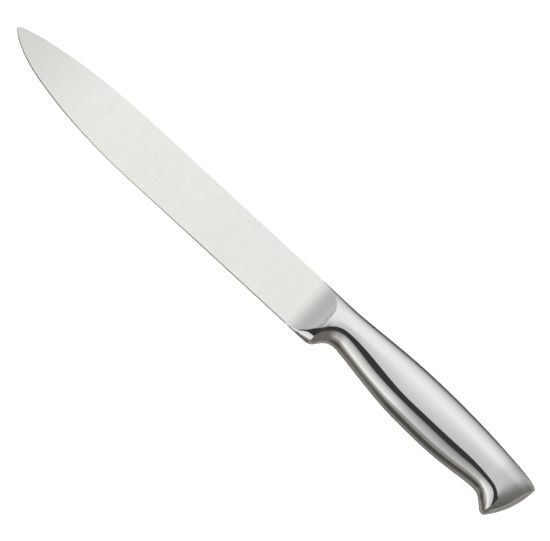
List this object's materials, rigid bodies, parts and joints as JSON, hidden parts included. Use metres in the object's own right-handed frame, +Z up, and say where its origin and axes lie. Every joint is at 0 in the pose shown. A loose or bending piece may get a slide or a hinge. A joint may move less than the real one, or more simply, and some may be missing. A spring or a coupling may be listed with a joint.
{
  "type": "carving knife",
  "caption": "Long narrow carving blade in satin steel, with a concave bolster ramp, a small guard and a sculpted hollow steel handle with a finger notch and a hooked butt.",
  "frame": {"origin": "centre of the knife's length and height as seen from its side, on the plane that the handle lies on", "axes": "+X from the tip of the blade to the butt, +Y from the cutting edge to the spine, +Z up out of the side that faces up when the knife lies on its other side"},
  "size_m": [0.332, 0.0324, 0.018],
  "materials": {
    "blade_steel": "satin, fine grain across the blade",
    "handle_steel": "satin, grain around the girth, smoother on the belly",
    "weld_steel": "ground flush and finished with the shells",
    "inner_steel": "as turned, unfinished",
    "rivet_steel": "as drawn"
  },
  "bodies": {
    "root": {"blade": "blade_steel", "bolster": "handle_steel", "balance_weight": "inner_steel", "rivet_front": "rivet_steel", "rivet_rear": "rivet_steel", "handle_shell_upper": "handle_steel", "handle_shell_lower": "handle_steel", "butt_cap": "handle_steel", "seam_weld_spine": "weld_steel", "seam_weld_belly": "weld_steel", "ring_weld_front": "weld_steel", "ring_weld_rear": "weld_steel"}
  },
  "joints": []
}
